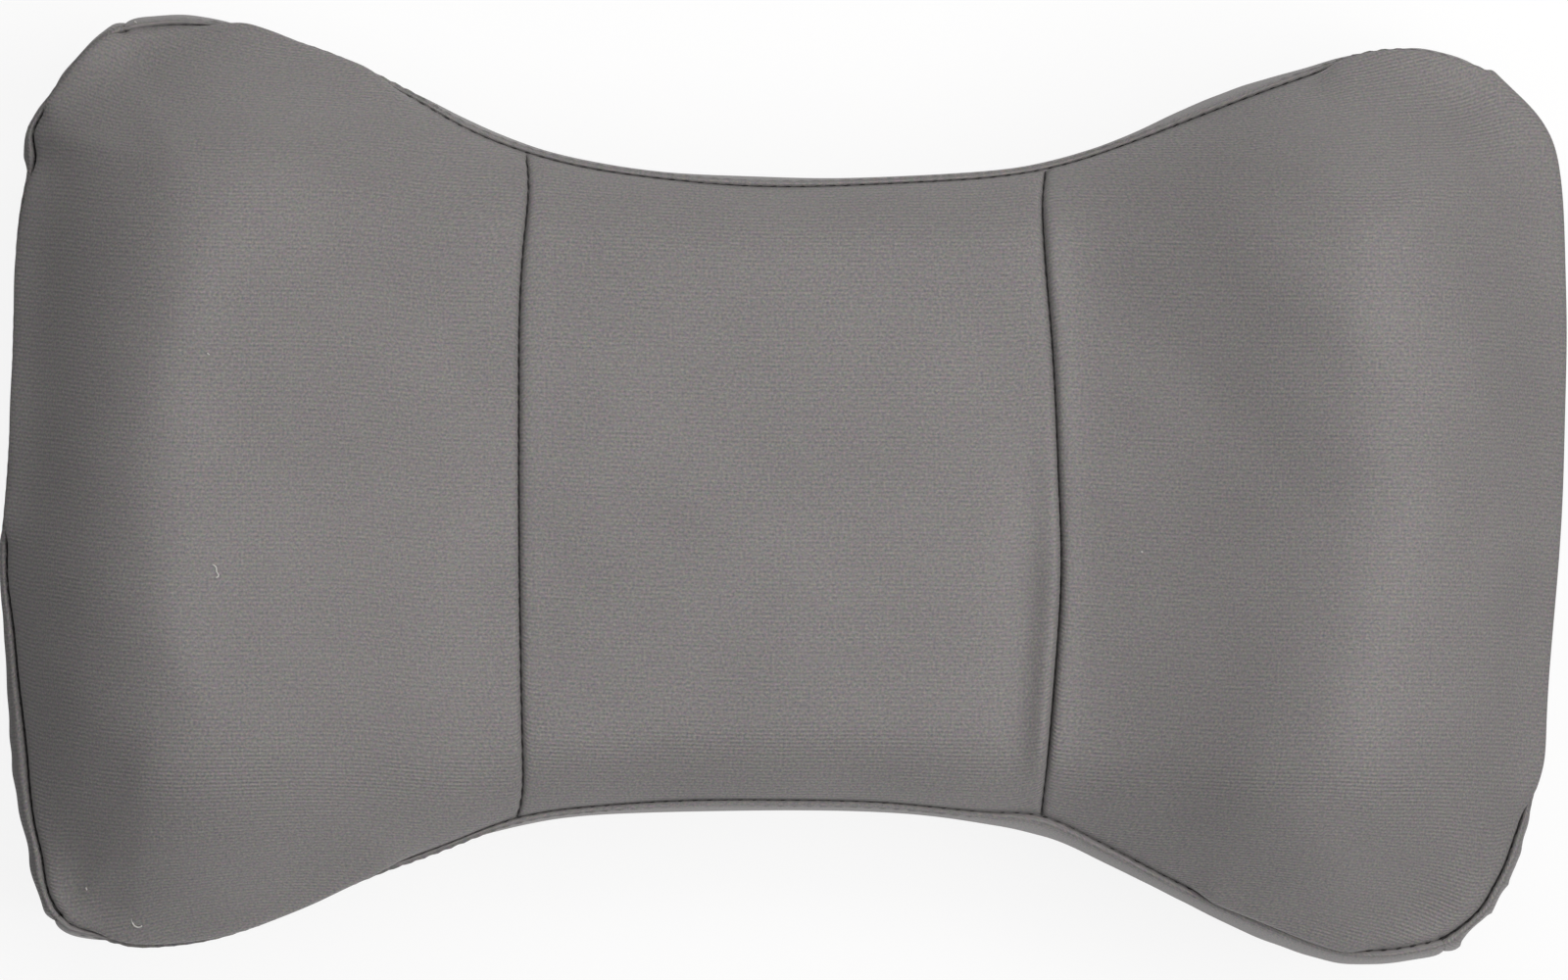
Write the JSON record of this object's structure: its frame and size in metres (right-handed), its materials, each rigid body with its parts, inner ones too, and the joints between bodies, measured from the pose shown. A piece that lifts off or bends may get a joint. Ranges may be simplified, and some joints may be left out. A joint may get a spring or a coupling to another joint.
{
  "type": "car neck pillow",
  "caption": "Bone-shaped boxed neck pillow for a car seat: raised foam lobes with a lower hollow between, in a sewn knit cover with a zip and an elastic headrest band on its back.",
  "frame": {"origin": "on the resting plane, under the middle of the pillow, which lies on its back", "axes": "+X from the middle to the right-hand lobe, +Y towards the upper long edge in the picture, +Z out of the face that the neck rests on"},
  "size_m": [0.3, 0.1768, 0.095],
  "materials": {
    "foam": "open-cell polyurethane foam, matt",
    "face_knit": "fine warm grey interlock knit, matt with a faint sheen",
    "gusset_knit": "the same warm grey knit, cut as boxing strips",
    "back_knit": "the same warm grey knit",
    "zip_tape": "woven polyester tape, grey",
    "zip_coil": "nylon coil, grey",
    "zip_metal": "zinc alloy, grey lacquer",
    "elastic": "woven elastic band, dark grey"
  },
  "bodies": {
    "pillow": {"foam_core": "foam", "front_panel_left": "face_knit", "front_panel_centre": "face_knit", "front_panel_right": "face_knit", "top_gusset": "gusset_knit", "bottom_gusset": "gusset_knit", "left_end_gusset": "gusset_knit", "right_end_gusset": "gusset_knit", "back_panel_upper": "back_knit", "back_panel_lower": "back_knit", "zip_tape_upper": "zip_tape", "zip_tape_lower": "zip_tape", "zip_coil_upper": "zip_coil", "zip_coil_lower": "zip_coil", "zip_stop_closed": "zip_metal", "zip_stop_open": "zip_metal", "headrest_strap": "elastic"},
    "slider": {"zip_slider": "zip_metal"},
    "pull": {"zip_pull": "zip_metal"}
  },
  "joints": [
    {"name": "zip_slide", "type": "slide", "parent": "pillow", "child": "slider", "axis": [-1, 0, 0], "range_m": [0, 0.1299]},
    {"name": "pull_swing", "type": "hinge", "parent": "slider", "child": "pull", "pos_m": [0.0722, -0.036, 0.002], "axis": [0, -1, 0], "range_deg": [0, 150]}
  ]
}
